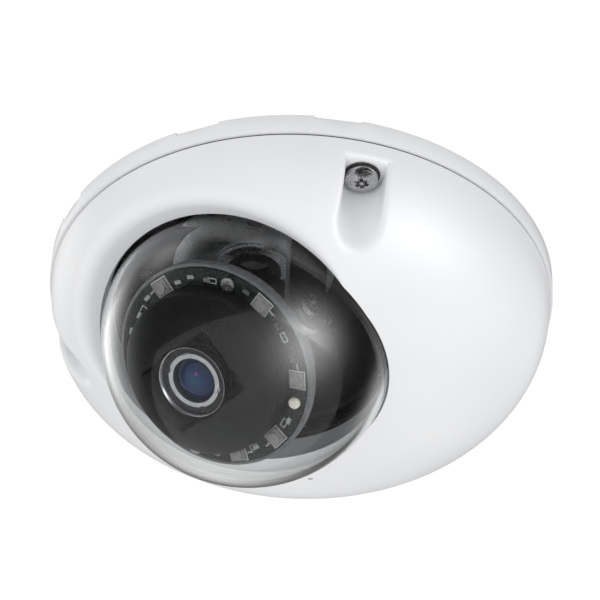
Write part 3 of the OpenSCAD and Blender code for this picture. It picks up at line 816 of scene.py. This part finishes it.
marks, pads = [], []
for number, angle in enumerate(LAMP_ANGLES):
    marks += frame_marks(on_ring(angle), 3.3, 3.8)
    step = 6.6 if number % 2 else -6.6
    for row in range(3):
        tick = on_ring(angle + step + row * 1.3 * (1 if step > 0 else -1), LAMP_RING + 0.35, turn=90)
        marks.append(box_at(tick, 0.75, 0.14, INK))
        marks.append(box_at(tick @ Matrix.Translation((0.3, 0.22, 0)), 0.14, 0.3, INK))
    for s in (-1, 1):
        pads.append(box_at(on_ring(angle) @ Matrix.Translation((0, s * 1.74, 0)), 2.2, 0.22, 0.08))
for angle in range(24, 360, 30):
    if min(abs((angle - a + 180) % 360 - 180) for a in LAMP_ANGLES) > 9:
        marks += frame_marks(on_ring(angle, LAMP_RING - 0.5), 1.0, 1.9, 0.12)
print_marks = new_piece("board_print", *gather(marks), "ball", "ivory_plastic")
print_marks.data.materials.append(print_ink)
solder_pads = new_piece("solder_pads", *gather(pads), "ball", "zinc_steel")
solder_pads.data.materials.append(zinc_plate)
print("printed", len(marks), "marks and", len(pads), "pads")

# %% [markdown]
# ## Finishes for the rest of the model
# All other pieces keep the shape that the model gives them. Each gets the finish of what it is made
# of. Metal and moulded pieces also get a small bevel, after their seams are welded, because a
# perfectly sharp edge never catches the light the way a made one does.

# %% Finish every part of the model
finishes = {
    "white_paint": white_paint, "rubber": soft_rubber, "black_plastic": black_moulding,
    "knurled_grey": knurl_grey, "circuit_board": board_lacquer, "chip_black": chip_resin,
    "heat_pad": thermal_pad, "ivory_plastic": ivory_nylon, "screw_steel": screw_steel,
    "zinc_steel": zinc_plate, "lens_black": lens_black, "silver_ring": turned_silver,
    "lens_glass": coated_glass, "lamp": lamp_ceramic, "clear_bubble": clear_polycarbonate,
}
special = {"inner_liner": liner_black, "bubble_clamp": liner_black, "gimbal_base": liner_black,
           "front_shroud": shroud_black}
BEVELS = {"cover_screws": 0.16, "front_shroud": 0.35, "focus_ring": 0.08, "lens_retainer": 0.06,
          "lens_barrel": 0.08, "base_plate": 0.25, "screw_washers": 0.08, "ir_leds": 0.08,
          "led_board_screws": 0.08, "ball_housing": 0.15, "light_sensor": 0.06}
slot_of = {row["node"]: row["material_slot"] for row in frame["record"]["subparts"]}
for name, node in frame["nodes"].items():
    node.data.materials.clear()
    node.data.materials.append(special.get(name, finishes[slot_of[name]]))
    if name in BEVELS:
        weld = node.modifiers.new("weld", "WELD")
        weld.merge_threshold = 0.002 * MM
        bevel = node.modifiers.new("bevel", "BEVEL")
        bevel.width = BEVELS[name] * MM
        bevel.segments = 2
        bevel.limit_method = "ANGLE"
        bevel.angle_limit = math.radians(40)
        bevel.harden_normals = False
print("finished", len(frame["nodes"]), "parts of the model")

# %% [markdown]
# ## The studio
# A pale floor lies far below. Three large, weak lamps light the matt surfaces: one from the front,
# one from the right and a faint one from behind on the left. They don't show in mirrors. What the
# bubble mirrors is a dim surrounding with a few round patches of light that fade out softly, as
# softboxes do in a real studio. Matt surfaces see a plain bright surrounding instead, a little
# brighter below than above, and the floor shades neither kind, so the white cover keeps its form and
# the black parts stay black. This split isn't physical, it only serves the picture.

# %% Floor, lamps and surrounding light
floor_mesh = bpy.data.meshes.new("floor")
floor_mesh.from_pydata([(-4, -4, -1.6), (4, -4, -1.6), (4, 4, -1.6), (-4, 4, -1.6)], [], [(0, 1, 2, 3)])
floor = bpy.data.objects.new("floor", floor_mesh)
bpy.context.scene.collection.objects.link(floor)
floor_mesh.materials.append(solid_finish("pale_floor", (0.84, 0.84, 0.84), (0.87, 0.87, 0.87),
                                         rough=(0.6, 0.7),
                                         drift=2, grain=30, bump=0.02))
floor.visible_diffuse = False
floor.visible_glossy = False


def soft_lamp(name, azimuth, elevation, distance, width, height, power):
    a, e = math.radians(azimuth), math.radians(elevation)
    way = Vector((math.sin(a) * math.cos(e), -math.cos(a) * math.cos(e), math.sin(e)))
    data = bpy.data.lights.new(name, "AREA")
    data.shape = "RECTANGLE"
    data.size, data.size_y, data.energy = width, height, power
    lamp = bpy.data.objects.new(name, data)
    bpy.context.scene.collection.objects.link(lamp)
    lamp.location = way * distance
    lamp.rotation_mode = "QUATERNION"
    lamp.rotation_quaternion = way.to_track_quat("Z", "Y")
    lamp.visible_glossy = False
    lamp.visible_transmission = False


soft_lamp("key_front", 10, -30, 1.2, 0.9, 0.9, 2.6)
soft_lamp("side_right", 125, -25, 1.3, 0.6, 0.6, 2.8)
soft_lamp("side_left", -150, 5, 1.3, 0.6, 0.6, 0.8)

world = bpy.data.worlds.new("studio")
bpy.context.scene.world = world
world.cycles.sampling_method = "NONE"
world.use_nodes = True
sky = world.node_tree
sky.nodes.clear()
direction = sky.nodes.new("ShaderNodeTexCoord").outputs["Generated"]


def math_node(kind, a, b, c=None):
    """A math node; each input is a socket or a number."""
    node = sky.nodes.new("ShaderNodeMath")
    node.operation = kind
    for spot, value in enumerate((a, b, c)):
        if isinstance(value, bpy.types.NodeSocket):
            sky.links.new(value, node.inputs[spot])
        elif value is not None:
            node.inputs[spot].default_value = value
    return node.outputs["Value"]


def soft_box(azimuth, elevation, spread_deg, strength):
    """A round patch of light that fades out like a bell curve."""
    a, e = math.radians(azimuth), math.radians(elevation)
    toward = sky.nodes.new("ShaderNodeVectorMath")
    toward.operation = "DOT_PRODUCT"
    toward.inputs[1].default_value = (math.sin(a) * math.cos(e), -math.cos(a) * math.cos(e), math.sin(e))
    sky.links.new(direction, toward.inputs[0])
    k = 2 / math.radians(spread_deg) ** 2
    fall = math_node("MULTIPLY_ADD", toward.outputs["Value"], k, -k)
    return math_node("MULTIPLY", math_node("EXPONENT", fall, 0.0), strength)


BACKDROP_LIGHT = 1.05
MIRROR_FLOOR = 0.03
MATT_LIGHT, MATT_SLOPE = 0.80, -0.20
SOFT_BOXES = (                               # azimuth, elevation and spread in degrees, strength
    (94, -27, 22, 6.2), (-88, 29, 20, 1.7), (-130, 2, 18, 0.7), (178, 15, 13, 0.9), (-32, 44, 14, 1.2),
)
mirrored = MIRROR_FLOOR
for box in SOFT_BOXES:
    mirrored = math_node("ADD", soft_box(*box), mirrored)
parts = sky.nodes.new("ShaderNodeSeparateXYZ")
sky.links.new(direction, parts.inputs["Vector"])
level = math_node("MULTIPLY_ADD", parts.outputs["Z"], MATT_SLOPE, MATT_LIGHT)
path_kind = sky.nodes.new("ShaderNodeLightPath")
by_gloss = math_node("GREATER_THAN", path_kind.outputs["Glossy Depth"], 0.5)
by_paint = math_node("GREATER_THAN", path_kind.outputs["Diffuse Depth"], 0.5)


def pick(factor, no, yes):
    """no where factor is 0, yes where it is 1."""
    rest = math_node("MULTIPLY", math_node("SUBTRACT", 1.0, factor), no)
    return math_node("MULTIPLY_ADD", factor, yes, rest)


backdrop = sky.nodes.new("ShaderNodeBackground")
sky.links.new(pick(by_paint, pick(by_gloss, BACKDROP_LIGHT, mirrored), level), backdrop.inputs["Strength"])
surround = sky.nodes.new("ShaderNodeOutputWorld")
sky.links.new(backdrop.outputs["Background"], surround.inputs["Surface"])
bpy.context.scene.view_settings.view_transform = "Standard"
backdrop.inputs["Color"].default_value = (1, 1, 1, 1)
